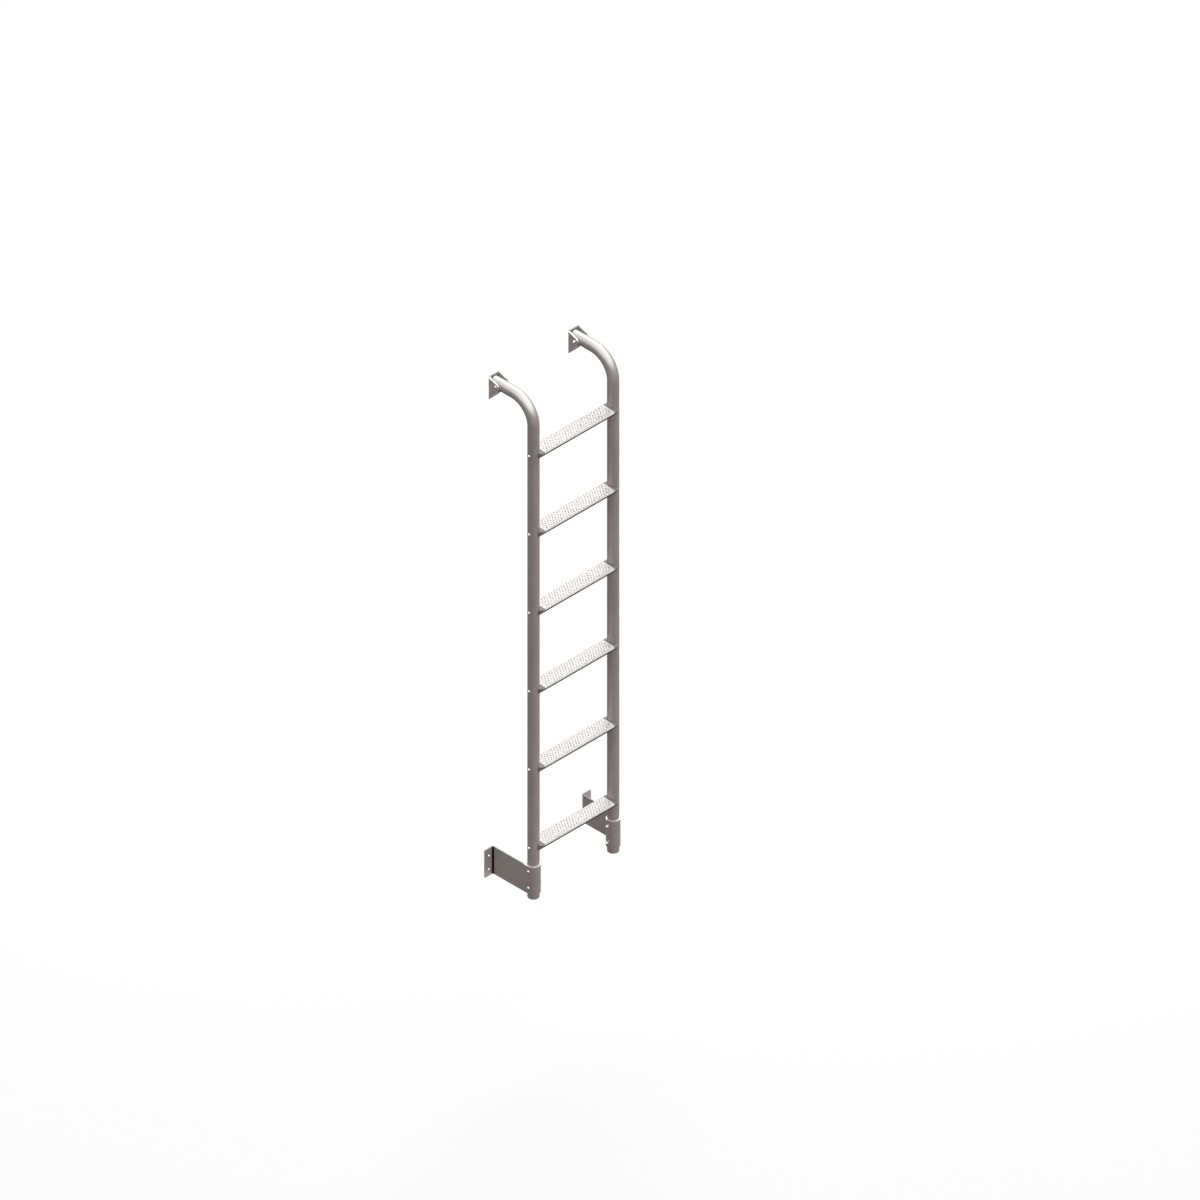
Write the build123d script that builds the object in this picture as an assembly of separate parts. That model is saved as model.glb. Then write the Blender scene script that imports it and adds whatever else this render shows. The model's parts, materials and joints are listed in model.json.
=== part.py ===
from build123d import *
import math
import os

# A ladder for the rear door of a van. Two round rails stand off the door and
# bend towards it at the top. Flat treads join them. Two wrapped sheet brackets
# hold the rails near the foot and two folded brackets hold the bent ends.
#
# Millimetres. +X is the climber's right, +Y points to the door, +Z is up.
# The origin lies on the door face of the left lower bracket's flange, midway
# between its two screw holes.

# Layout
CLEAR_WIDTH = 240.0           # clear width between the rails
BRACKET_SPAN = 1450.0         # lower edge of the lower to upper edge of the upper brackets
TREAD_REACH = 145.0           # lower door face to the front of the treads
UPPER_SET_BACK = 14.0         # upper door face beyond the lower one, as the door leans
FIT_GAP = 0.1                 # between a rail and what grips it, each side

# Rails
RAIL_DIAMETER = 30.0
RAIL_WALL = 2.0
RAIL_BEND = 66.0              # radius of the bend at its centre line
RAIL_FOOT = 16.0              # how far a rail and its plug stand below the lower bracket

# Plugs in the ends of the rails
PLUG_HEAD = 1.5
PLUG_HEAD_BEVEL = 0.8
PLUG_SPIGOT = 12.0
PLUG_GAP = 0.15              # between the spigot and the bore of the rail, each side

# Treads
TREAD_DEPTH = 45.0
TREAD_TOP = 10.0              # crown above the tread's screw line
TREAD_BELLY = 10.0            # belly below the screw line
TREAD_NOSE = 6.0              # radius of the front and rear edges
TREAD_NOSE_LIFT = 2.5         # centre of that radius above the screw line
TREAD_WALL = 1.8
TREAD_WEB = 1.8
SCREW_PORT_WALL = 2.2
SCREW_PORT_BORE = 4.2
TREAD_COUNT = 6
FIRST_TREAD = 132.0           # screw line of the lowest tread above the lower bracket's edge
LAST_TREAD = 83.0             # screw line of the top tread below the start of the bend
TREAD_SCREW_HOLE = 5.5

# End pieces between treads and rails
END_FLOOR = 2.0               # thickness between the tread's end and the rail
END_SHOULDER = 2.5            # straight length before the plan curves in to the rail
END_LIP = 1.2                 # thickness left beside the rail
LUG_LENGTH = 10.0
LUG_GAP = 0.2                 # between the lugs and the inside of the tread

# Lower brackets
LOWER_SHEET = 2.5
LOWER_HEIGHT = 80.0
LOWER_FLANGE = 27.4           # from the outer face of the arm to the flange's edge
LOWER_FOLD = 2.5              # inner radius of the fold
LOWER_CORNER = 3.0            # rounding of the flange's free corners
WRAP_OPENING = 50.0           # degrees left open between the arm and the wrap's end
FLANGE_HOLE = 5.5
FLANGE_HOLE_SPACING = 40.0
FLANGE_HOLE_EDGE = 14.0       # hole line to the flange's edge
WRAP_BOLT_HOLE = 5.5
WRAP_BOLT_SPACING = 48.0

# Upper brackets
UPPER_SHEET = 2.5
UPPER_HEIGHT = 68.0
UPPER_EDGE = 19.0             # upper edge of the plate above the rail's centre line
UPPER_FOLD = 1.0              # inner radius of the folds
UPPER_BOLT_REACH = 25.0       # bolt hole out from the door face
UPPER_BOLT_HOLE = 5.5
UPPER_TIP = 10.0              # radius of the wings' tips, round the bolt hole
UPPER_RAIL_GAP = 1.5          # between the plug in the rail and the plate
PLATE_HOLE = 5.5
PLATE_HOLE_SPACING = 18.0
PLATE_HOLE_EDGE = 8.5         # lower hole above the plate's lower edge

# Worked out from the sizes above
rail_r = RAIL_DIAMETER / 2
bore_r = rail_r - RAIL_WALL
rail_x = CLEAR_WIDTH / 2 + rail_r
tread_half = TREAD_DEPTH / 2
rail_y = tread_half - TREAD_REACH
lower_edge = -LOWER_HEIGHT / 2
upper_top = lower_edge + BRACKET_SPAN
stub_z = upper_top - UPPER_EDGE
bend_z = stub_z - RAIL_BEND
bend_y = rail_y + RAIL_BEND
foot_z = lower_edge - RAIL_FOOT
wrap_in = rail_r + FIT_GAP
wrap_out = wrap_in + LOWER_SHEET
flange_edge_x = rail_x + wrap_out + LOWER_FLANGE
origin_x = FLANGE_HOLE_EDGE - flange_edge_x
plate_inner_y = UPPER_SET_BACK - UPPER_SHEET
stub_end_y = plate_inner_y - UPPER_RAIL_GAP
upper_bolt_y = UPPER_SET_BACK - UPPER_BOLT_REACH
tread_end_x = rail_x - wrap_in - END_FLOOR
port_r = SCREW_PORT_BORE / 2 + SCREW_PORT_WALL
first_tread_z = lower_edge + FIRST_TREAD
last_tread_z = bend_z - LAST_TREAD
tread_pitch = (last_tread_z - first_tread_z) / (TREAD_COUNT - 1)
tread_heights = [first_tread_z + tread_pitch * i for i in range(TREAD_COUNT)]


def along_x(diameter, length, centre):
    # A round bar along X, for bolt and screw holes.
    return Pos(*centre) * Rot(0, 90, 0) * Cylinder(diameter / 2, length)


def along_y(diameter, length, centre):
    # A round bar along Y, for the holes in the door faces.
    return Pos(*centre) * Rot(90, 0, 0) * Cylinder(diameter / 2, length)


def rail():
    # The right rail: a straight tube, a bend and a short stub to the door.
    ring = Circle(rail_r) - Circle(bore_r)
    tube_foot = foot_z + PLUG_HEAD
    straight = extrude(Pos(rail_x, rail_y, tube_foot) * ring, amount=bend_z - tube_foot)
    bend_axis = Axis((rail_x, bend_y, bend_z), (-1, 0, 0))
    bend = revolve(Pos(rail_x, rail_y, bend_z) * ring, axis=bend_axis, revolution_arc=90)
    stub_plane = Plane(origin=(rail_x, bend_y, stub_z), x_dir=(1, 0, 0), z_dir=(0, 1, 0))
    stub = extrude(stub_plane * ring, amount=stub_end_y - PLUG_HEAD - bend_y)
    tube = straight + bend + stub
    through = 2 * RAIL_DIAMETER
    for z in tread_heights:
        tube -= along_x(TREAD_SCREW_HOLE, through, (rail_x, rail_y, z))
    for side in (-1, 1):
        z = side * WRAP_BOLT_SPACING / 2
        tube -= along_x(WRAP_BOLT_HOLE, through, (rail_x, rail_y, z))
    tube -= along_x(UPPER_BOLT_HOLE, through, (rail_x, upper_bolt_y, stub_z))
    return tube


def end_plug():
    # A plug with its head below Z = 0 and its spigot above.
    head = Pos(0, 0, -PLUG_HEAD / 2) * Cylinder(rail_r, PLUG_HEAD)
    rim = head.edges().sort_by(Axis.Z)[0]
    head = chamfer(rim, PLUG_HEAD_BEVEL)
    return head + Pos(0, 0, PLUG_SPIGOT / 2) * Cylinder(bore_r - PLUG_GAP, PLUG_SPIGOT)


def tread_section(inset):
    # The tread's outline in the YZ plane, drawn inwards by inset. A nose arc at
    # the front and the rear is tangent to the crown above and the belly below.
    nose_r = TREAD_NOSE - inset
    nose_y = tread_half - TREAD_NOSE

    def cap_radius(rise):
        # Radius of an arc through (0, rise) that is tangent to both nose arcs.
        return (nose_y**2 + rise**2 - nose_r**2) / (2 * (rise - nose_r))

    crown_rise = TREAD_TOP - inset - TREAD_NOSE_LIFT
    belly_rise = TREAD_BELLY - inset + TREAD_NOSE_LIFT
    touch = []
    for rise, up in ((crown_rise, 1), (belly_rise, -1)):
        centre = rise - cap_radius(rise)
        slope = math.atan2(-centre, nose_y)
        dy = nose_r * math.cos(slope)
        dz = nose_r * math.sin(slope)
        touch.append((nose_y + dy, TREAD_NOSE_LIFT + up * dz))
    upper, lower = touch
    front = (nose_y + nose_r, TREAD_NOSE_LIFT)
    outline = Wire([
        ThreePointArc((-upper[0], upper[1]), (0, TREAD_TOP - inset), upper),
        ThreePointArc(upper, front, lower),
        ThreePointArc(lower, (0, inset - TREAD_BELLY), (-lower[0], lower[1])),
        ThreePointArc((-lower[0], lower[1]), (-front[0], front[1]), (-upper[0], upper[1])),
    ])
    return make_face(outline.edges())


def along_tread(section, start_x, length):
    # Sweeps a YZ section along X from start_x.
    plane = Plane(origin=(start_x, rail_y, 0), x_dir=(0, 1, 0), z_dir=(1, 0, 0))
    return extrude(plane * section, amount=length)


def tread():
    # One extrusion: a closed shell with a middle web and a port for the screws.
    inner = tread_section(TREAD_WALL)
    web = Rectangle(TREAD_WEB, TREAD_TOP + TREAD_BELLY)
    chambers = inner - web - Circle(port_r)
    section = tread_section(0) - chambers - Circle(SCREW_PORT_BORE / 2)
    return along_tread(section, -tread_end_x, 2 * tread_end_x)


def tread_end():
    # The right end piece: a saddle round half of the rail, and two flat lugs
    # that plug into the tread's chambers.
    body_length = rail_x - tread_end_x
    body = along_tread(tread_section(0), tread_end_x, body_length)
    shoulder_x = tread_end_x + END_SHOULDER
    lip_y = wrap_in + END_LIP
    front_curve = TangentArc((shoulder_x, tread_half), (rail_x, lip_y), tangent=(1, 0))
    plan = Wire([
        Line((tread_end_x, -tread_half), (tread_end_x, tread_half)),
        Line((tread_end_x, tread_half), (shoulder_x, tread_half)),
        front_curve,
        Line((rail_x, lip_y), (rail_x, -lip_y)),
        front_curve.mirror(Plane.XZ),
        Line((shoulder_x, -tread_half), (tread_end_x, -tread_half)),
    ])
    tall = 2 * (TREAD_TOP + TREAD_BELLY)
    outline = extrude(make_face(plan.edges()), amount=tall / 2, both=True)
    body = body & (Pos(0, rail_y, 0) * outline)
    body -= Pos(rail_x, rail_y, 0) * Cylinder(wrap_in, tall)

    lug_height = 2 * (TREAD_NOSE - TREAD_WALL - LUG_GAP)
    lug_near = port_r + LUG_GAP
    lug_far = tread_half - TREAD_NOSE
    for side in (-1, 1):
        lug_y = side * (lug_near + lug_far) / 2
        lug_section = Pos(lug_y, TREAD_NOSE_LIFT) * Rectangle(lug_far - lug_near, lug_height)
        body += along_tread(lug_section, tread_end_x - LUG_LENGTH, LUG_LENGTH)
    return body - along_x(TREAD_SCREW_HOLE, 2 * RAIL_DIAMETER, (rail_x, rail_y, 0))


def lower_bracket():
    # The right lower bracket: one strip that lies on the door, turns along the
    # outer side of the rail and wraps round its front and inner side.
    reach = 2 * wrap_out
    opening = math.radians(WRAP_OPENING)
    wedge = Polygon(
        (0, 0),
        (reach, 0),
        (reach * math.cos(opening), reach * math.sin(opening)),
        align=None,
    )
    wrap = Circle(wrap_out) - Circle(wrap_in) - wedge

    door_y = -rail_y
    fold_out = LOWER_FOLD + LOWER_SHEET
    arm_end = door_y - fold_out
    arm = Pos((wrap_in + wrap_out) / 2, arm_end / 2) * Rectangle(LOWER_SHEET, arm_end)
    fold_centre = Pos(wrap_out + LOWER_FOLD, arm_end)
    quarter = Pos(-fold_out / 2, fold_out / 2) * Rectangle(fold_out, fold_out)
    fold = fold_centre * ((Circle(fold_out) - Circle(LOWER_FOLD)) & quarter)
    flange_length = LOWER_FLANGE - LOWER_FOLD
    flange_x = wrap_out + LOWER_FOLD + flange_length / 2
    flange = Pos(flange_x, door_y - LOWER_SHEET / 2) * Rectangle(flange_length, LOWER_SHEET)

    strip = extrude(wrap + arm + fold + flange, amount=LOWER_HEIGHT / 2, both=True)
    corners = strip.edges().filter_by(Axis.Y).group_by(Axis.X)[-1]
    strip = fillet(corners, LOWER_CORNER)
    strip = Pos(rail_x, rail_y, 0) * strip

    hole_x = flange_edge_x - FLANGE_HOLE_EDGE
    for side in (-1, 1):
        hole_z = side * FLANGE_HOLE_SPACING / 2
        strip -= along_y(FLANGE_HOLE, 4 * LOWER_SHEET, (hole_x, 0, hole_z))
        bolt_z = side * WRAP_BOLT_SPACING / 2
        strip -= along_x(WRAP_BOLT_HOLE, 2 * RAIL_DIAMETER, (rail_x, rail_y, bolt_z))
    return strip


def upper_bracket():
    # The right upper bracket: a plate on the door with two wings that grip the
    # stub. Its wings run in straight lines from the plate's ends to a round tip.
    inner_half = rail_r + FIT_GAP
    outer_half = inner_half + UPPER_SHEET
    depth = UPPER_BOLT_REACH + UPPER_TIP
    outside = Pos(0, -depth / 2) * Rectangle(2 * outer_half, depth)
    outside = fillet(outside.vertices().group_by(Axis.Y)[-1], UPPER_FOLD + UPPER_SHEET)
    inside = Pos(0, -UPPER_SHEET - depth / 2) * Rectangle(2 * inner_half, depth)
    inside = fillet(inside.vertices().group_by(Axis.Y)[-1], UPPER_FOLD)
    low_z = UPPER_EDGE - UPPER_HEIGHT
    channel = extrude(Pos(0, 0, low_z) * (outside - inside), amount=UPPER_HEIGHT)

    # Wing outline: u runs from the door face towards the climber, v is up.
    def tangent_point(v, up):
        # Where the line from the plate's end at height v meets the tip's circle.
        away = math.hypot(UPPER_BOLT_REACH, v)
        to_centre = math.atan2(-v, UPPER_BOLT_REACH)
        turn = up * math.asin(UPPER_TIP / away)
        run = math.sqrt(away**2 - UPPER_TIP**2)
        angle = to_centre + turn
        return (run * math.cos(angle), v + run * math.sin(angle))

    upper = tangent_point(UPPER_EDGE, 1)
    lower = tangent_point(low_z, -1)
    tip = (UPPER_BOLT_REACH + UPPER_TIP, 0)
    wing = Wire([
        Line((0, low_z), (0, UPPER_EDGE)),
        Line((0, UPPER_EDGE), upper),
        ThreePointArc(upper, tip, lower),
        Line(lower, (0, low_z)),
    ])
    side_view = Plane(origin=(0, 0, 0), x_dir=(0, -1, 0), z_dir=(-1, 0, 0))
    outline = extrude(side_view * make_face(wing.edges()), amount=2 * outer_half, both=True)
    bracket = channel & outline
    bracket = Pos(rail_x, UPPER_SET_BACK, stub_z) * bracket

    bracket -= along_x(UPPER_BOLT_HOLE, 4 * outer_half, (rail_x, upper_bolt_y, stub_z))
    lowest_hole = stub_z + low_z + PLATE_HOLE_EDGE
    for step in (0, 1):
        hole_z = lowest_hole + step * PLATE_HOLE_SPACING
        bracket -= along_y(PLATE_HOLE, 4 * UPPER_SHEET, (rail_x, UPPER_SET_BACK, hole_z))
    return bracket


def write(node, shape):
    # Moves a finished piece into the part's own frame and writes its file.
    export_step(Pos(-origin_x, 0, 0) * shape, f"parts/{node}.step")


def write_pair(name, shape, prefix="", suffix=""):
    # Writes a right-hand piece and its mirror image on the left.
    write(f"{prefix}right_{name}{suffix}", shape)
    write(f"{prefix}left_{name}{suffix}", mirror(shape, about=Plane.YZ))


def main():
    os.makedirs("parts", exist_ok=True)

    write_pair("rail", rail())
    write_pair("lower_bracket", lower_bracket())
    write_pair("upper_bracket", upper_bracket())

    plug = end_plug()
    write_pair("foot_plug", Pos(rail_x, rail_y, foot_z + PLUG_HEAD) * plug)
    stub_place = Pos(rail_x, stub_end_y - PLUG_HEAD, stub_z) * Rot(90, 0, 0)
    write_pair("top_plug", stub_place * plug)

    step = tread()
    end = tread_end()
    for number, z in enumerate(tread_heights, start=1):
        write(f"rung_{number}", Pos(0, 0, z) * step)
        write_pair("end", Pos(0, 0, z) * end, prefix=f"rung_{number}_")


main()
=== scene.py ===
import json
import math

import bmesh
import bpy
from mathutils import Matrix, Vector

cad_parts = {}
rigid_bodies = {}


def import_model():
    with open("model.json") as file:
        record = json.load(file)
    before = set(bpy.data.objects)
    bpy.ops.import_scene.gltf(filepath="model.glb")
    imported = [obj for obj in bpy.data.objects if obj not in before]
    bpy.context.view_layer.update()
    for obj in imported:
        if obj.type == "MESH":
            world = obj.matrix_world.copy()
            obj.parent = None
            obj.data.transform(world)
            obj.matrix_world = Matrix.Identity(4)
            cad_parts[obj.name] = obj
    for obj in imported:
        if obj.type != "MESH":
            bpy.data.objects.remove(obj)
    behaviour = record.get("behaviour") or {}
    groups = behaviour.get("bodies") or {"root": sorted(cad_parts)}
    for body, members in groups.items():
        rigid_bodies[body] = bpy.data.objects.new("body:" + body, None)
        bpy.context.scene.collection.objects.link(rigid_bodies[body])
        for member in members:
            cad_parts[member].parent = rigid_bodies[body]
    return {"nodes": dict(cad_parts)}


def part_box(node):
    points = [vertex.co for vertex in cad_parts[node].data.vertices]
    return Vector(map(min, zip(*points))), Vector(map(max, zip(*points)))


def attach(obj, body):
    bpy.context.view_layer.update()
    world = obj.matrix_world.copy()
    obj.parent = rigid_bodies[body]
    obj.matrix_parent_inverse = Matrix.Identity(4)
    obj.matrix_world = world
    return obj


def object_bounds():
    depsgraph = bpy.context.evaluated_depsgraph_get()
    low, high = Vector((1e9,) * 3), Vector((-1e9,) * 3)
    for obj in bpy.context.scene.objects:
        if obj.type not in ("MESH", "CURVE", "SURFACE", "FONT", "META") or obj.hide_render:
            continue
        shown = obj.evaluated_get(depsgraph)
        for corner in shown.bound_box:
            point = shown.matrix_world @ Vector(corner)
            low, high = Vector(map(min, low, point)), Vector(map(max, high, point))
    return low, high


# The finish of a ladder for the rear door of a van: satin metal rails and
# brackets, pale treads with raised grip studs, grey moulded end pieces and
# plated bolts, nuts and screws. Metres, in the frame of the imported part.

for leftover in list(bpy.data.objects):
    bpy.data.objects.remove(leftover)
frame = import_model()
cad_low, cad_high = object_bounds()

MM = 0.001

# The photograph's view: pixels per metre, and the pixel where the origin lies
PHOTO_SIZE = 1200
PHOTO_SCALE = 417.2
ORIGIN_PIXEL = (488.23, 861.64)
VIEW_BACK = Vector((-1, -1, 1)).normalized()
VIEW_RIGHT = Vector((1, -1, 0)).normalized()
VIEW_UP = Vector((1, 1, 2)).normalized()
CAMERA_DISTANCE = 6.0

# Floor
FLOOR_DROP = 0.45             # floor below the lowest point of the ladder
FLOOR_SIZE = 60.0
FLOOR_FADE = (2.2, 4.5)       # distances between which the floor turns plain white
FLOOR_GLOW = 0.4              # share of plain white in the floor near the ladder
WHITE = (1.0, 1.0, 1.0, 1.0)

# Lamp
KEY_SIZE = 3.0
KEY_DISTANCE = 4.5
KEY_DIRECTION = Vector((0.55, 0.45, 0.75)).normalized()
KEY_POWER = 88.0

# The studio's light: where it starts and stops changing, and its strength at either end
OVERHEAD = (0.12, 0.64, 0.58, 3.7)        # by height, in what metal mirrors
UNDERFOOT = (-0.85, -0.5, 0.05, 1.0)
FILL = (-0.5, 0.25, 0.0, 0.8)             # by height, on dull surfaces
TO_THE_RIGHT = (-0.9, 0.9, 0.74, 1.24)    # across the view, for both
TINT_HEIGHTS = (-0.3, 0.6)
WARM_BELOW = (1.06, 0.97, 0.96, 1.0)      # tint of what the metal mirrors from below
COOL_ABOVE = (0.965, 1.005, 0.985, 1.0)   # and from above

# A Mix node's kinds: the name, the numbers of its two inputs and that of its output
MIX_COLOURS = ("RGBA", 6, 7, 2)
MIX_VECTORS = ("VECTOR", 4, 5, 1)

# Noises: scale, detail and, for one of them, roughness
METAL_CLOUDS = (9.0, 4.0)
METAL_SCUFFS = (140.0, 6.0, 0.7)
TREAD_GRAIN = (900.0, 2.0)
STUD_CLOUDS = (170.0, 2.0)
STUD_GRAIN = (1500.0, 2.0)
PLASTIC_CLOUDS = (60.0, 3.0)
PLASTIC_GRAIN = (1600.0, 2.0)
STEEL_CLOUDS = (240.0, 3.0)
STEEL_MARKS = (2600.0, 2.0)
NOISE_GREYS = (0.3, 0.7)      # greys between which a noise mostly lies

# Satin metal
METALLIC = 0.5
SPECULAR = 0.5
SATIN = 0.38                  # its roughness
STREAK_ROUGH = 0.14           # how much that differs from streak to streak
SCUFF_ROUGH = 0.08            # and how much rougher a scuff is
SCUFF_GREYS = (0.62, 0.78)    # greys of its noise between which a scuff shows
SCUFF_SHARE = 0.35            # how far a scuff brings the tone towards the palest
CLOUD_SHARE = 0.55            # of the clouds in the tone; the streaks have the rest
TONE_LOW = 0.86               # how far the tone wanders from the colour
TONE_HIGH = 1.1
STREAK_DEPTH = 0.02 * MM

# Rails
RAIL_COLOUR = (0.4, 0.367, 0.353)
RAIL_STREAKS = (900.0, 900.0, 6.0)     # per metre across, out of and along the tube
RAIL_SHIFT = 3.0              # moves the two rails' streaks apart
RAIL_SKIN = 0.6 * MM          # a point this near to the tube's outside lies on it

# Brackets
SHEET_STREAKS = (12.0, 12.0, 1100.0)   # per metre along X, Y and Z
FOLDED_COLOUR = (0.51, 0.467, 0.45, 1.0)      # of the upper brackets
BRACKET_COLOUR = (0.4, 0.366, 0.353, 1.0)     # of the lower brackets' arms and sleeves
FLANGE_PAINTED_LIGHT_COLOUR = (0.6, 0.55, 0.532, 1.0)       # and of their flanges: painted light, a lighter copy of the arms' colour
# Cut edges: a painted highlight on some of them, painted shade on the rest
EDGE_PAINTED_HIGHLIGHT_COLOUR = (0.92, 0.9, 0.89, 1.0)
EDGE_PAINTED_SHADE_COLOUR = (0.15, 0.14, 0.137, 1.0)
CREASE_PAINTED_SHADE_COLOUR = (0.003, 0.003, 0.003, 1.0)
LOWER_BELOW = 0.5             # the lower brackets lie below this height
EDGE_SLOPES = (0.15, 0.3)     # slopes of a normal between which a cut edge starts
TONE_STEP = 1 * MM            # how near to its border a tone starts to give way to the next
SLEEVE_BACK = (12 * MM, 16 * MM)       # behind the rail's axis, where a sleeve's painted edge highlight ends
FLANGE_BORES = 30 * MM        # the flanges' holes lie within this of the middle height
CREASE_REACH = (2.6 * MM, 2.9 * MM)    # from the fold's axis, where the painted shade in the crease ends

# Treads
TREAD_COLOUR = (0.93, 0.897, 0.88, 1.0)
FLECK_COLOUR = (0.42, 0.39, 0.38, 1.0)
NOSE_PAINTED_SHADE_COLOUR = (0.014, 0.013, 0.013, 1.0)
BELLY_COLOUR = (0.33, 0.31, 0.305, 1.0)
TOP_SLOPES = (0.3, 0.7)       # how far normals point up where the top starts
NOSE_SLOPES = (0.14, 0.32)    # where the painted shade on the nose ends
BELLY_SLOPES = (-0.9, -0.75)  # and where the belly ends
TREAD_ROUGH = (0.5, 0.68)
TREAD_DEPTH = 0.15 * MM       # of its fine grain
GRAINS = 480.0                # grains of grit along a metre
GRAIN_R = (0.28, 0.4)         # a grain's dark middle and its soft edge, in spacings
DARK_GRAINS = 0.2             # share of them that is dark
EDGE_GRAINS = 0.4             # and how much more of them along the front and rear edges
EDGE_START = (16.5 * MM, 18 * MM)      # from the tread's middle, where these edges start

# Grip studs
STUD_DARK = (0.15, 0.138, 0.134, 1.0)
STUD_PALE = (0.6, 0.565, 0.55, 1.0)
STUD_GREYS = (0.42, 0.58)     # greys of the clouds between which a stud turns pale
STUD_ROUGH = 0.6
STUD_DEPTH = 0.05 * MM        # of their grain

# Moulded plastic
PLASTIC_DARK = (0.2, 0.188, 0.184, 1.0)
PLASTIC_PALE = (0.26, 0.247, 0.243, 1.0)
UNDERSIDE_PAINTED_SHADE_COLOUR = (0.008, 0.008, 0.008, 1.0)
UNDERSIDE_SLOPES = (-0.2, 0.1)         # how far normals point up where the painted shade underneath ends
PLASTIC_SPECULAR = 0.4
PLASTIC_ROUGH = (0.5, 0.65)
PLASTIC_DEPTH = 0.04 * MM     # of its grain

# Plated steel
STEEL_METALLIC = 0.9
STEEL_DARK = (0.5, 0.485, 0.475, 1.0)
STEEL_PALE = (0.62, 0.605, 0.59, 1.0)
STEEL_ROUGH = (0.2, 0.3)
STEEL_DEPTH = 0.02 * MM       # of its turning marks

# The part's own sizes and places
rail_low, rail_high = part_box("left_rail")
far_rail_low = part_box("right_rail")[0]
lower_low, lower_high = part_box("left_lower_bracket")
upper_low, upper_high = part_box("left_upper_bracket")
RAIL_R = (rail_high.x - rail_low.x) / 2
LEFT_X = rail_low.x + RAIL_R
RIGHT_X = far_rail_low.x + RAIL_R
MID_X = (LEFT_X + RIGHT_X) / 2
HALF_SPACING = (RIGHT_X - LEFT_X) / 2
RAIL_Y = rail_low.y + RAIL_R
STUB_Z = rail_high.z - RAIL_R
BEND_R = 66 * MM
BEND_Y = RAIL_Y + BEND_R
BEND_Z = STUB_Z - BEND_R
SHEET = 2.5 * MM
WRAP_OUT = (upper_high.x - upper_low.x) / 2   # both kinds of bracket, from the rail's axis
FOLD_R = 2.5 * MM
FOLD_X = HALF_SPACING + WRAP_OUT + FOLD_R     # the lower fold's axis, from the ladder's middle
FOLD_Y = -(FOLD_R + SHEET)
LOWER_MID_Z = (lower_low.z + lower_high.z) / 2
PLATE_FRONT = upper_high.y - SHEET
RUNGS = sorted(name for name in frame["nodes"] if name.removeprefix("rung_").isdigit())

# Bolts and screws with domed heads, and their shapes as shares of their sizes
BOLT_R = 2.5 * MM
BOLT_HEAD_R = 4.75 * MM
BOLT_HEAD_H = 2.75 * MM
BOLT_SOCKET = 3 * MM
WRAP_BOLT_OFFSET = 24 * MM
UPPER_BOLT_REACH = 25 * MM
SCREW_R = 2.4 * MM
SCREW_HEAD_R = 4.4 * MM
SCREW_HEAD_H = 2.8 * MM
SCREW_SOCKET = 3 * MM
SCREW_LENGTH = 44 * MM
TIP_SHARE = 0.8               # the tip's radius, of the shank's
TIP_SLOPE = 0.3               # length of the tip's slope, of the shank's radius
SEAT_SHARE = 0.96             # radius where the head is seated, of the head's
RIM_HEIGHT = 0.22             # the rim's height, of the head's
RIM_START = 0.4               # where the rim is widest from, of its height
CROWN_SHARE = 0.66            # the crown's radius, of the socket's width
SOCKET_DEPTH = 0.62           # of the head's height
SOCKET_EDGE = 0.1 * MM        # the socket's edge below the crown

# Cap nuts
NUT_FLATS = 8 * MM
NUT_H = 4 * MM
NUT_DOME = 3.6 * MM
NUT_FACE = 0.97               # radius of its faces, of half the width across flats
NUT_FOOT = 0.4 * MM           # height of its lower bevel
NUT_BEVEL = 0.5 * MM          # and of its upper one
DOME_SHARE = 0.86             # the dome's radius, of half the width across flats
DOME_STEP = 0.1 * MM          # the dome's foot above the hexagon

# Rings that make up a fastener
RING_POINTS = 48
DOME_RINGS = 6
SHARP_ANGLE = 35              # degrees from which an edge stays sharp
GRIP_SHARP_ANGLE = 60

# Rows of studs
STUD_PITCH_X = 8.5 * MM
STUD_PITCH_Y = 6.2 * MM
STUD_R = 1.95 * MM
STUD_H = 0.7 * MM
STUD_SIDES = 8
STUD_FOOT = 0.1 * MM          # how far a stud reaches into the tread
STUD_RINGS = ((1.0, -STUD_FOOT), (0.92, 0.45 * STUD_H), (0.62, 0.9 * STUD_H))   # shares of R, heights
STUD_EDGE_X = 4.0 * MM        # left free at each end of the tread
STUD_HALF_DEPTH = 16.0 * MM   # the rows lie within this of its middle
CROWN_R = 97.5 * MM
CROWN_TOP = 10 * MM


def add_node(tree, kind, settings=None, **inputs):
    # Adds a shader node. Each input is a socket to link or a value to set.
    node = tree.nodes.new(kind)
    for key, value in (settings or {}).items():
        setattr(node, key, value)
    for key, value in inputs.items():
        put(tree, node.inputs[key], value)
    return node


def put(tree, socket, value):
    # Links a socket to an input or sets the input's value.
    if isinstance(value, bpy.types.NodeSocket):
        tree.links.new(value, socket)
    else:
        socket.default_value = value


def calc(tree, operation, first, second=0.0, third=None):
    # One Math node on sockets or numbers.
    node = add_node(tree, "ShaderNodeMath", {"operation": operation})
    put(tree, node.inputs[0], first)
    put(tree, node.inputs[1], second)
    if third is not None:
        put(tree, node.inputs[2], third)
    return node.outputs[0]


def hypotenuse(tree, first, second):
    # The length of a line that goes first one way and second at right angles to it.
    squares = [calc(tree, "POWER", value, 2.0) for value in (first, second)]
    return calc(tree, "SQRT", calc(tree, "ADD", *squares))


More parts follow.
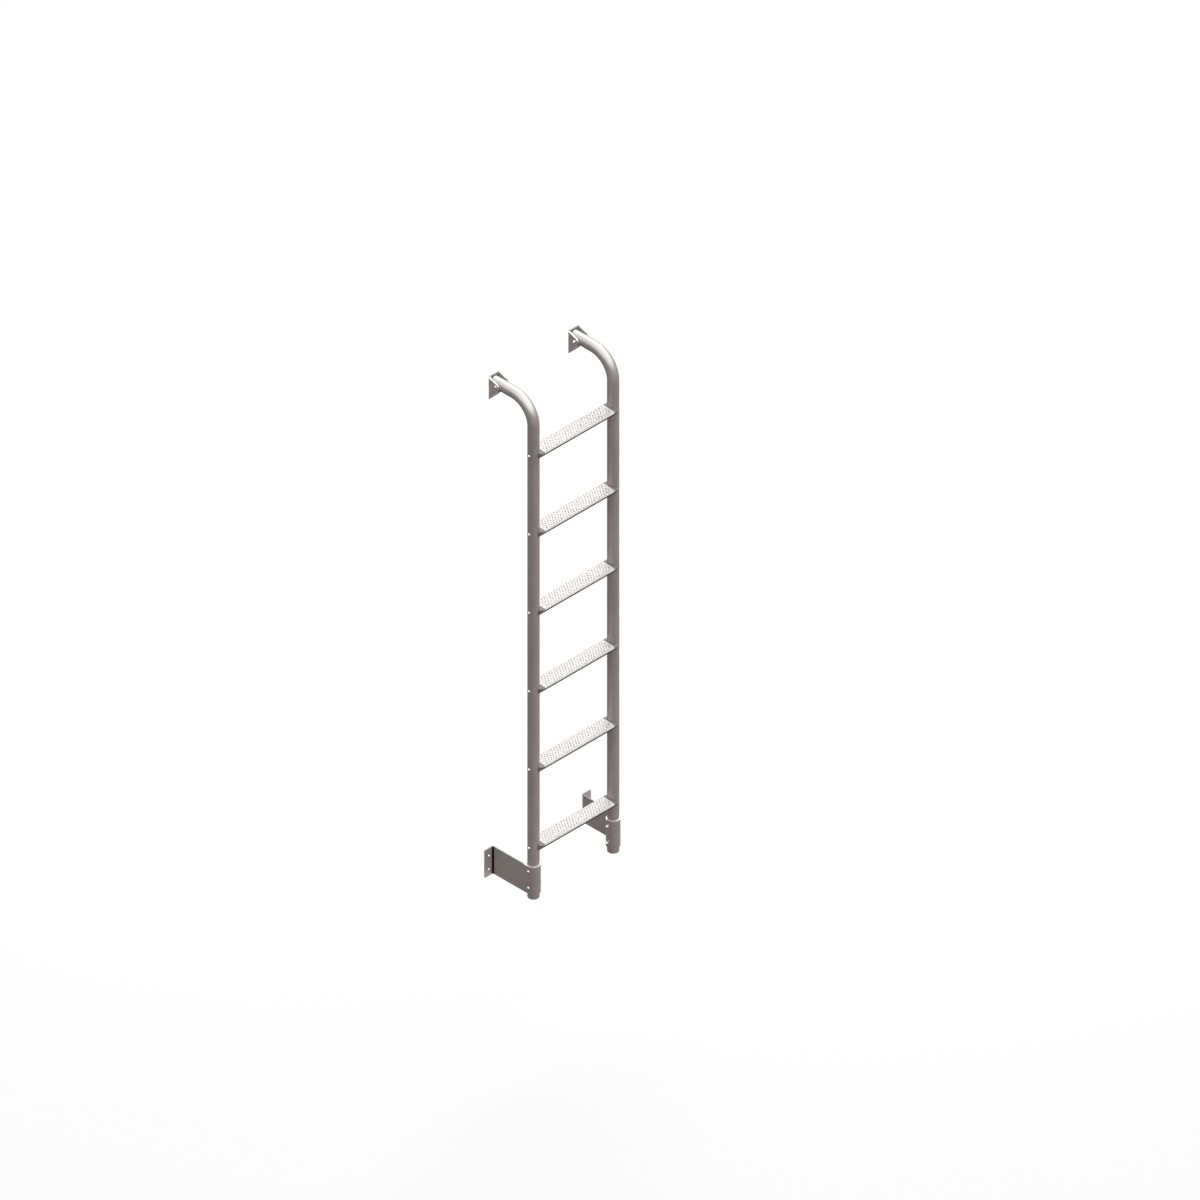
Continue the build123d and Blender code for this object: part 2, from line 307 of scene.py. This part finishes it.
def ramp(tree, value, low, high, out_low=0.0, out_high=1.0):
    # Maps value smoothly from low..high to out_low..out_high.
    node = add_node(tree, "ShaderNodeMapRange", {"interpolation_type": "SMOOTHSTEP"}, Value=value)
    keys = ("From Min", "From Max", "To Min", "To Max")
    for key, number in zip(keys, (low, high, out_low, out_high)):
        node.inputs[key].default_value = number
    return node.outputs["Result"]


def fade(tree, value, low, high):
    # 1 up to low, falling smoothly to 0 at high.
    return ramp(tree, value, low, high, 1.0, 0.0)


def noise(tree, vector, scale, detail=3.0, rough=0.55):
    # The grey value of a noise texture.
    node = add_node(
        tree, "ShaderNodeTexNoise", Vector=vector, Scale=scale, Detail=detail, Roughness=rough
    )
    return node.outputs["Fac"]


def streaked_noise(tree, values, fineness):
    # A noise of three values, with its own fineness along each.
    scaled = [calc(tree, "MULTIPLY", value, fine) for value, fine in zip(values, fineness)]
    return noise(tree, combine(tree, *scaled), 1.0)


def mix_value(tree, amount, first, second):
    # A mix of two numbers.
    return calc(tree, "MULTIPLY_ADD", calc(tree, "SUBTRACT", second, first), amount, first)


def blend(tree, sockets, amount, first, second):
    # A mix through a Mix node's sockets of one kind.
    kind, first_input, second_input, output = sockets
    node = add_node(tree, "ShaderNodeMix", {"data_type": kind}, Factor=amount)
    put(tree, node.inputs[first_input], first)
    put(tree, node.inputs[second_input], second)
    return node.outputs[output]


def blend_colour(tree, amount, first, second):
    # A mix of two colours.
    return blend(tree, MIX_COLOURS, amount, first, second)


def combine(tree, x, y, z):
    # A vector from three values.
    return add_node(tree, "ShaderNodeCombineXYZ", X=x, Y=y, Z=z).outputs[0]


def separate(tree, vector):
    # A vector's x, y and z.
    return list(add_node(tree, "ShaderNodeSeparateXYZ", Vector=vector).outputs)


def position(tree):
    # The point's own coordinates, which are the frame's.
    return add_node(tree, "ShaderNodeTexCoord").outputs["Object"]


def mesh_normal(tree):
    # The surface's direction as the mesh gives it.
    return add_node(tree, "ShaderNodeNewGeometry").outputs["Normal"]


def upward(tree):
    # How far the surface's normal points up, from -1 to 1.
    return separate(tree, mesh_normal(tree))[2]


def start_material(name, metallic, specular=SPECULAR):
    # A material with a Principled shader. Returns the material, its tree and the shader.
    material = bpy.data.materials.new(name)
    material.use_nodes = True
    tree = material.node_tree
    shader = tree.nodes["Principled BSDF"]
    shader.inputs["Metallic"].default_value = metallic
    shader.inputs["Specular IOR Level"].default_value = specular
    return material, tree, shader


def add_bump(tree, shader, height, distance, normal=None):
    # Feeds a height in 0..1 to the shader's normal. distance is its depth in metres.
    node = add_node(tree, "ShaderNodeBump", Height=height, Distance=distance)
    if normal is not None:
        put(tree, node.inputs["Normal"], normal)
    put(tree, shader.inputs["Normal"], node.outputs["Normal"])


def metal_finish(tree, shader, colour, streaks, point):
    # Satin metal: streaks, soft cloudy tone, and a few fine scuffs. Returns the
    # toned colour and links the roughness to the shader.
    cloud = noise(tree, point, *METAL_CLOUDS)
    scuff = ramp(tree, noise(tree, point, *METAL_SCUFFS), *SCUFF_GREYS)
    tone = mix_value(tree, CLOUD_SHARE, streaks, cloud)
    shade = ramp(tree, tone, *NOISE_GREYS, TONE_LOW, TONE_HIGH)
    shade = mix_value(tree, calc(tree, "MULTIPLY", scuff, SCUFF_SHARE), shade, TONE_HIGH)
    toned = add_node(tree, "ShaderNodeVectorMath", {"operation": "SCALE"}, Scale=shade)
    put(tree, toned.inputs[0], colour)
    rough = calc(tree, "MULTIPLY_ADD", streaks, STREAK_ROUGH, SATIN - STREAK_ROUGH / 2)
    rough = calc(tree, "MULTIPLY_ADD", scuff, SCUFF_ROUGH, rough)
    put(tree, shader.inputs["Roughness"], rough)
    return toned.outputs[0]


def rail_material():
    # Drawn tube. Its streaks follow it round its bend, and it is shaded as the round
    # tube that it is, where the mesh has facets.
    material, tree, shader = start_material("satin_rail", METALLIC)
    point = position(tree)
    x, y, z = separate(tree, point)
    side = calc(tree, "SUBTRACT", x, MID_X)
    sign = calc(tree, "SIGN", side)

    # Across and out of the tube from its axis, and along that axis
    across = calc(tree, "SUBTRACT", calc(tree, "ABSOLUTE", side), HALF_SPACING)
    front = calc(tree, "MAXIMUM", calc(tree, "SUBTRACT", BEND_Y, y), 0.0)
    above = calc(tree, "MAXIMUM", calc(tree, "SUBTRACT", z, BEND_Z), 0.0)
    reach = hypotenuse(tree, front, above)
    out = calc(tree, "SUBTRACT", reach, BEND_R)
    turn = calc(tree, "MULTIPLY", calc(tree, "ARCTAN2", above, front), BEND_R)
    past = calc(tree, "MAXIMUM", calc(tree, "SUBTRACT", y, BEND_Y), 0.0)
    straight = calc(tree, "MINIMUM", z, BEND_Z)
    along = calc(tree, "ADD", calc(tree, "ADD", straight, turn), past)
    shifted = calc(tree, "ADD", along, calc(tree, "MULTIPLY", sign, RAIL_SHIFT))
    streaks = streaked_noise(tree, (across, out, shifted), RAIL_STREAKS)
    toned = metal_finish(tree, shader, RAIL_COLOUR, streaks, point)
    put(tree, shader.inputs["Base Color"], toned)

    lean = calc(tree, "DIVIDE", out, reach)
    from_axis = combine(
        tree,
        calc(tree, "MULTIPLY", sign, across),
        calc(tree, "MULTIPLY", calc(tree, "MULTIPLY", lean, front), -1.0),
        calc(tree, "MULTIPLY", lean, above),
    )
    add_bump(tree, shader, streaks, STREAK_DEPTH, tube_normal(tree, from_axis))
    return material


def tube_normal(tree, from_axis):
    # The true tube's normal where the point lies on its outside, and the mesh's elsewhere.
    unit = add_node(tree, "ShaderNodeVectorMath", {"operation": "NORMALIZE"}, Vector=from_axis)
    length = add_node(tree, "ShaderNodeVectorMath", {"operation": "LENGTH"}, Vector=from_axis)
    outside = calc(tree, "GREATER_THAN", length.outputs["Value"], RAIL_R - RAIL_SKIN)
    return blend(tree, MIX_VECTORS, outside, mesh_normal(tree), unit.outputs["Vector"])


def bracket_material():
    # Brushed sheet with a tone for each kind of face, the flanges painted lighter as if lit more,
    # a painted highlight or painted shade on cut edges, and painted shade along the inner side of the
    # lower fold. The sheet's own faces are upright.
    material, tree, shader = start_material("satin_bracket", METALLIC)
    point = position(tree)
    x, y, z = separate(tree, point)
    streaks = streaked_noise(tree, (x, y, z), SHEET_STREAKS)
    add_bump(tree, shader, streaks, STREAK_DEPTH)

    low_part = calc(tree, "LESS_THAN", z, LOWER_BELOW)
    side = calc(tree, "SUBTRACT", x, MID_X)
    from_fold = calc(tree, "SUBTRACT", calc(tree, "ABSOLUTE", side), FOLD_X)
    flange = calc(tree, "MULTIPLY", ramp(tree, from_fold, -TONE_STEP, TONE_STEP), low_part)
    # The flanges get a lighter copy of the sheet's colour: painted light, as if they were lit more
    # than the arms.
    sheet = blend_colour(tree, flange, BRACKET_COLOUR, FLANGE_PAINTED_LIGHT_COLOUR)
    sheet = blend_colour(tree, low_part, FOLDED_COLOUR, sheet)
    base = metal_finish(tree, shader, sheet, streaks, point)

    # Cut edges get a painted highlight or painted shade, by where they lie.
    highlit = painted_highlight_edges(tree, side, y, z, low_part, flange)
    edge = blend_colour(tree, highlit, EDGE_PAINTED_SHADE_COLOUR, EDGE_PAINTED_HIGHLIGHT_COLOUR)
    slope = calc(tree, "ABSOLUTE", upward(tree))
    base = blend_colour(tree, ramp(tree, slope, *EDGE_SLOPES), base, edge)

    # Painted shade: a near-black, unreflective band along the inside of the lower fold.
    distance = hypotenuse(tree, from_fold, calc(tree, "SUBTRACT", y, FOLD_Y))
    crease_shade = calc(tree, "MULTIPLY", fade(tree, distance, *CREASE_REACH), low_part)
    base = blend_colour(tree, crease_shade, base, CREASE_PAINTED_SHADE_COLOUR)
    metallic = calc(tree, "MULTIPLY_ADD", crease_shade, -METALLIC, METALLIC)
    specular = calc(tree, "MULTIPLY_ADD", crease_shade, -SPECULAR, SPECULAR)
    put(tree, shader.inputs["Base Color"], base)
    put(tree, shader.inputs["Metallic"], metallic)
    put(tree, shader.inputs["Specular IOR Level"], specular)
    return material


def painted_highlight_edges(tree, side, y, z, low_part, flange):
    # 1 where a cut edge gets a painted highlight rather than painted shade: on the left-hand wing of
    # each upper bracket, on the lower brackets' sleeves up to their arms, and in the flanges' holes.
    rail_side = calc(tree, "MULTIPLY", calc(tree, "SIGN", side), HALF_SPACING)
    left_wing = calc(tree, "LESS_THAN", side, rail_side)
    off_plate = fade(tree, y, PLATE_FRONT - TONE_STEP, PLATE_FRONT)
    wing = calc(tree, "MULTIPLY", left_wing, off_plate)
    sleeve = fade(tree, y, RAIL_Y + SLEEVE_BACK[0], RAIL_Y + SLEEVE_BACK[1])
    level = calc(tree, "ABSOLUTE", calc(tree, "SUBTRACT", z, LOWER_MID_Z))
    bore = calc(tree, "MULTIPLY", flange, calc(tree, "LESS_THAN", level, FLANGE_BORES))
    return calc(tree, "MAXIMUM", mix_value(tree, low_part, wing, sleeve), bore)


def tread_material():
    # Pale extrusion with a gritty top, painted shade on its nose where it faces down, and a grey
    # belly.
    material, tree, shader = start_material("pale_tread", 0.0)
    point = position(tree)
    y = separate(tree, point)[1]
    up = upward(tree)
    top = ramp(tree, up, *TOP_SLOPES)
    edge = ramp(tree, calc(tree, "ABSOLUTE", calc(tree, "SUBTRACT", y, RAIL_Y)), *EDGE_START)
    grit = flecks(tree, point, calc(tree, "MULTIPLY_ADD", edge, EDGE_GRAINS, DARK_GRAINS))
    base = blend_colour(tree, calc(tree, "MULTIPLY", grit, top), TREAD_COLOUR, FLECK_COLOUR)
    # Painted shade: near black where the nose turns down.
    base = blend_colour(tree, fade(tree, up, *NOSE_SLOPES), base, NOSE_PAINTED_SHADE_COLOUR)
    base = blend_colour(tree, fade(tree, up, *BELLY_SLOPES), base, BELLY_COLOUR)
    put(tree, shader.inputs["Base Color"], base)
    grain = noise(tree, point, *TREAD_GRAIN)
    put(tree, shader.inputs["Roughness"], ramp(tree, grain, *NOISE_GREYS, *TREAD_ROUGH))
    add_bump(tree, shader, calc(tree, "MULTIPLY", grain, top), TREAD_DEPTH)
    return material


def flecks(tree, point, share):
    # 1 in the middle of the share of the grains that is dark, 0 elsewhere.
    grain = add_node(
        tree, "ShaderNodeTexVoronoi", {"voronoi_dimensions": "2D"}, Vector=point, Scale=GRAINS
    )
    chance = add_node(tree, "ShaderNodeSeparateColor", Color=grain.outputs["Color"]).outputs[0]
    dark = calc(tree, "LESS_THAN", chance, share)
    return calc(tree, "MULTIPLY", dark, fade(tree, grain.outputs["Distance"], *GRAIN_R))


def stud_material():
    # Gritty grey studs, some much darker than the next.
    material, tree, shader = start_material("grip_stud", 0.0)
    point = position(tree)
    cloud = ramp(tree, noise(tree, point, *STUD_CLOUDS), *STUD_GREYS)
    put(tree, shader.inputs["Base Color"], blend_colour(tree, cloud, STUD_DARK, STUD_PALE))
    put(tree, shader.inputs["Roughness"], STUD_ROUGH)
    add_bump(tree, shader, noise(tree, point, *STUD_GRAIN), STUD_DEPTH)
    return material


def plastic_material():
    # Grey moulded plastic with a fine spark-eroded grain, and painted shade underneath.
    material, tree, shader = start_material("grey_plastic", 0.0, PLASTIC_SPECULAR)
    point = position(tree)
    grain = noise(tree, point, *PLASTIC_GRAIN)
    cloud = noise(tree, point, *PLASTIC_CLOUDS)
    base = blend_colour(tree, cloud, PLASTIC_DARK, PLASTIC_PALE)
    # Painted shade: near black where the surface faces down.
    underside_shade = fade(tree, upward(tree), *UNDERSIDE_SLOPES)
    put(tree, shader.inputs["Base Color"], blend_colour(tree, underside_shade, base, UNDERSIDE_PAINTED_SHADE_COLOUR))
    put(tree, shader.inputs["Roughness"], ramp(tree, grain, *NOISE_GREYS, *PLASTIC_ROUGH))
    add_bump(tree, shader, grain, PLASTIC_DEPTH)
    return material


def steel_material():
    # Bright plated steel with faint turning marks.
    material, tree, shader = start_material("plated_steel", STEEL_METALLIC)
    point = position(tree)
    cloud = noise(tree, point, *STEEL_CLOUDS)
    put(tree, shader.inputs["Base Color"], blend_colour(tree, cloud, STEEL_DARK, STEEL_PALE))
    put(tree, shader.inputs["Roughness"], ramp(tree, cloud, *NOISE_GREYS, *STEEL_ROUGH))
    add_bump(tree, shader, noise(tree, point, *STEEL_MARKS), STEEL_DEPTH)
    return material


def even_turns(count):
    # Angles that divide a full turn evenly.
    return [2 * math.pi * i / count for i in range(count)]


def circle(radius, height):
    # A round ring of points about X, at that height along it.
    turns = even_turns(RING_POINTS)
    return [Vector((height, radius * math.cos(turn), radius * math.sin(turn))) for turn in turns]


def hexagon(flats, height):
    # A hexagonal ring of as many points, that width across flats.
    points = []
    for turn in even_turns(RING_POINTS):
        from_flat = (turn + math.pi / 6) % (math.pi / 3) - math.pi / 6
        reach = flats / 2 / math.cos(from_flat)
        points.append(Vector((height, reach * math.cos(turn), reach * math.sin(turn))))
    return points


def join_rings(bm, rings):
    # Joins each ring of points to the next by quads. Returns the rings' vertices.
    loops = [[bm.verts.new(point) for point in ring] for ring in rings]
    for lower, upper in zip(loops, loops[1:]):
        for i in range(len(lower)):
            j = (i + 1) % len(lower)
            bm.faces.new((lower[i], lower[j], upper[j], upper[i]))
    return loops


def loft(rings):
    # A new bmesh: a skin over the rings, closed at both ends.
    bm = bmesh.new()
    loops = join_rings(bm, rings)
    bm.faces.new(list(reversed(loops[0])))
    bm.faces.new(loops[-1])
    return bm


def piece(name, bm, material, place, sharp_angle=SHARP_ANGLE):
    # Makes a bmesh into a named piece of the ladder that rides on the root body.
    mesh = bpy.data.meshes.new(name)
    bmesh.ops.recalc_face_normals(bm, faces=bm.faces)
    bm.transform(place)
    if place.determinant() < 0:
        bmesh.ops.reverse_faces(bm, faces=bm.faces)
    bm.to_mesh(mesh)
    bm.free()
    mesh.materials.append(material)
    mesh.shade_smooth()
    mesh.set_sharp_from_angle(angle=math.radians(sharp_angle))
    made = bpy.data.objects.new(name, mesh)
    bpy.context.scene.collection.objects.link(made)
    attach(made, "root")


def outward(side, seat_x, y, z):
    # A place whose +X points away from the ladder's middle on that side.
    place = Matrix.Translation((seat_x, y, z))
    return place @ Matrix.Scale(side, 4, (1, 0, 0))


def button_screw(head_r, head_h, socket, shank_r, shank_length):
    # A domed head with a hexagon socket above X = 0 and its shank below.
    rim = RIM_HEIGHT * head_h
    crown_r = CROWN_SHARE * socket
    rings = [
        circle(shank_r * TIP_SHARE, -shank_length),
        circle(shank_r, shank_r * TIP_SLOPE - shank_length),
        circle(shank_r, 0),
        circle(head_r * SEAT_SHARE, 0),
        circle(head_r, rim * RIM_START),
        circle(head_r, rim),
    ]
    for i in range(1, DOME_RINGS + 1):
        share = i / DOME_RINGS
        radius = head_r + (crown_r - head_r) * share
        height = rim + (head_h - rim) * math.sin(share * math.pi / 2)
        rings.append(circle(radius, height))
    rings.append(hexagon(socket, head_h - SOCKET_EDGE))
    rings.append(hexagon(socket, head_h - SOCKET_DEPTH * head_h))
    return loft(rings)


def cap_nut(flats, height, dome):
    # A hexagon nut under a dome, standing on X = 0.
    inner = flats / 2
    rings = [
        circle(inner * NUT_FACE, 0),
        hexagon(flats, NUT_FOOT),
        hexagon(flats, height - NUT_BEVEL),
        circle(inner * NUT_FACE, height),
        circle(inner * DOME_SHARE, height + DOME_STEP),
    ]
    for i in range(1, DOME_RINGS):
        angle = math.pi / 2 * i / DOME_RINGS
        radius = inner * DOME_SHARE * math.cos(angle)
        rings.append(circle(radius, height + dome * math.sin(angle)))
    return loft(rings)


def add_fasteners(steel):
    # Bolts and cap nuts through the brackets, and a screw into each end of each tread.
    spots = (
        ("lower_1", RAIL_Y, LOWER_MID_Z + WRAP_BOLT_OFFSET),
        ("lower_2", RAIL_Y, LOWER_MID_Z - WRAP_BOLT_OFFSET),
        ("upper", upper_high.y - UPPER_BOLT_REACH, STUB_Z),
    )
    for name, side, rail_x in (("left", -1, LEFT_X), ("right", 1, RIGHT_X)):
        outer = rail_x + side * WRAP_OUT
        inner = rail_x - side * WRAP_OUT
        for spot, y, z in spots:
            bolt = button_screw(BOLT_HEAD_R, BOLT_HEAD_H, BOLT_SOCKET, BOLT_R, 2 * WRAP_OUT + NUT_H)
            piece(f"{name}_{spot}_bolt", bolt, steel, outward(side, outer, y, z))
            nut = cap_nut(NUT_FLATS, NUT_H, NUT_DOME)
            piece(f"{name}_{spot}_nut", nut, steel, outward(-side, inner, y, z))
        for rung in RUNGS:
            low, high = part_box(rung)
            screw = button_screw(SCREW_HEAD_R, SCREW_HEAD_H, SCREW_SOCKET, SCREW_R, SCREW_LENGTH)
            place = outward(side, rail_x + side * RAIL_R, RAIL_Y, (low.z + high.z) / 2)
            piece(f"{rung}_{name}_screw", screw, steel, place)


def crown_point(y):
    # Height of the tread's crown above its screw line, and its slope, at y from its middle.
    height = CROWN_TOP - CROWN_R + math.sqrt(CROWN_R**2 - y**2)
    return height, math.asin(y / CROWN_R)


def add_grip(studs):
    # Staggered rows of low round studs on the crown of each tread.
    for rung in RUNGS:
        low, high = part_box(rung)
        middle = (low + high) / 2
        half_length = (high.x - low.x) / 2 - STUD_EDGE_X
        columns = int(2 * half_length / STUD_PITCH_X)
        rows = int(2 * STUD_HALF_DEPTH / STUD_PITCH_Y)
        bm = bmesh.new()
        for row in range(rows + 1):
            y = (row - rows / 2) * STUD_PITCH_Y
            height, slope = crown_point(y)
            tilt = Matrix.Rotation(-slope, 4, "X")
            for column in range(columns + row % 2):
                x = (column - (columns - 1 + row % 2) / 2) * STUD_PITCH_X
                foot = (middle.x + x, middle.y + y, middle.z + height)
                add_stud(bm, Matrix.Translation(foot) @ tilt)
        piece(f"{rung}_grip", bm, studs, Matrix.Identity(4), GRIP_SHARP_ANGLE)


def add_stud(bm, place):
    # One low stud: a skirt that starts just inside the tread, and a domed top.
    rings = []
    for share, height in STUD_RINGS:
        ring = []
        for turn in even_turns(STUD_SIDES):
            x = share * STUD_R * math.cos(turn)
            y = share * STUD_R * math.sin(turn)
            ring.append(place @ Vector((x, y, height)))
        rings.append(ring)
    loops = join_rings(bm, rings)
    top = bm.verts.new(place @ Vector((0, 0, STUD_H)))
    for i in range(STUD_SIDES):
        bm.faces.new((loops[-1][i], loops[-1][(i + 1) % STUD_SIDES], top))
    bm.faces.new(list(reversed(loops[0])))


def dress_nodes():
    # Gives each node of the part its material.
    finishes = {
        "rail_metal": rail_material(),
        "bracket_metal": bracket_material(),
        "tread_metal": tread_material(),
        "end_plastic": plastic_material(),
    }
    for node in frame["nodes"].values():
        for slot in node.material_slots:
            slot.material = finishes[slot.material.name.split(".")[0]]


def floor_material():
    # Matt white near the ladder, which keeps its shadow, and plain white further away.
    material = bpy.data.materials.new("pale_floor")
    material.use_nodes = True
    tree = material.node_tree
    tree.nodes.clear()
    away = add_node(tree, "ShaderNodeVectorMath", {"operation": "LENGTH"}, Vector=position(tree))
    plain = ramp(tree, away.outputs["Value"], *FLOOR_FADE, FLOOR_GLOW)
    matt = add_node(tree, "ShaderNodeBsdfDiffuse", Color=WHITE)
    white = add_node(tree, "ShaderNodeEmission", Color=WHITE, Strength=1.0)
    mix = add_node(tree, "ShaderNodeMixShader", Fac=plain)
    put(tree, mix.inputs[1], matt.outputs[0])
    put(tree, mix.inputs[2], white.outputs[0])
    out = add_node(tree, "ShaderNodeOutputMaterial")
    put(tree, out.inputs["Surface"], mix.outputs[0])
    return material


def add_floor():
    # A wide floor below the ladder that neither mirrors in it nor lights it.
    half = FLOOR_SIZE / 2
    height = cad_low.z - FLOOR_DROP
    corners = ((-half, -half), (half, -half), (half, half), (-half, half))
    bm = bmesh.new()
    bm.faces.new([bm.verts.new((x, y, height)) for x, y in corners])
    mesh = bpy.data.meshes.new("floor")
    bm.to_mesh(mesh)
    bm.free()
    mesh.materials.append(floor_material())
    floor = bpy.data.objects.new("floor", mesh)
    bpy.context.scene.collection.objects.link(floor)
    floor.visible_glossy = False
    floor.visible_diffuse = False


def add_world():
    # A white studio: plain white to the camera, brighter overhead and on the view's
    # right and dimmer underfoot for the metal, and soft from above for the rest.
    world = bpy.data.worlds.new("studio")
    bpy.context.scene.world = world
    world.use_nodes = True
    tree = world.node_tree
    background = tree.nodes["Background"]
    direction = add_node(tree, "ShaderNodeTexCoord").outputs["Generated"]
    x, y, z = separate(tree, direction)
    right = calc(tree, "MULTIPLY", calc(tree, "SUBTRACT", x, y), VIEW_RIGHT.x)
    lean = ramp(tree, right, *TO_THE_RIGHT)
    by_height = calc(tree, "MULTIPLY", ramp(tree, z, *OVERHEAD), ramp(tree, z, *UNDERFOOT))
    mirrored = calc(tree, "MULTIPLY", by_height, lean)
    fill = calc(tree, "MULTIPLY", ramp(tree, z, *FILL), lean)

    path = add_node(tree, "ShaderNodeLightPath").outputs
    shiny = calc(tree, "MAXIMUM", path["Is Glossy Ray"], path["Is Transmission Ray"])
    strength = mix_value(tree, shiny, fill, mirrored)
    strength = mix_value(tree, path["Is Camera Ray"], strength, 1.0)
    put(tree, background.inputs["Strength"], strength)
    tint = blend_colour(tree, ramp(tree, z, *TINT_HEIGHTS), WARM_BELOW, COOL_ABOVE)
    put(tree, background.inputs["Color"], blend_colour(tree, shiny, WHITE, tint))


def add_key():
    # One large soft lamp, high behind the ladder on its right.
    lamp = bpy.data.lights.new("key", "AREA")
    lamp.shape = "SQUARE"
    lamp.size = KEY_SIZE
    lamp.energy = KEY_POWER
    key = bpy.data.objects.new("key", lamp)
    bpy.context.scene.collection.objects.link(key)
    middle = (cad_low + cad_high) / 2
    key.location = middle + KEY_DIRECTION * KEY_DISTANCE
    key.rotation_euler = (-KEY_DIRECTION).to_track_quat("-Z", "Y").to_euler()


def add_camera():
    # The photograph's own view, without perspective.
    half = PHOTO_SIZE / 2
    across = (half - ORIGIN_PIXEL[0]) / PHOTO_SCALE
    above = (ORIGIN_PIXEL[1] - half) / PHOTO_SCALE
    camera = bpy.data.objects.new("camera", bpy.data.cameras.new("camera"))
    bpy.context.scene.collection.objects.link(camera)
    camera.data.type = "ORTHO"
    camera.data.ortho_scale = PHOTO_SIZE / PHOTO_SCALE
    camera.location = VIEW_RIGHT * across + VIEW_UP * above + VIEW_BACK * CAMERA_DISTANCE
    camera.rotation_euler = (-VIEW_BACK).to_track_quat("-Z", "Y").to_euler()
    bpy.context.scene.camera = camera


def main():
    # Dresses the part and sets the studio up.
    bpy.context.scene.view_settings.view_transform = "Standard"
    dress_nodes()
    add_fasteners(steel_material())
    add_grip(stud_material())
    add_floor()
    add_world()
    add_key()
    add_camera()


main()
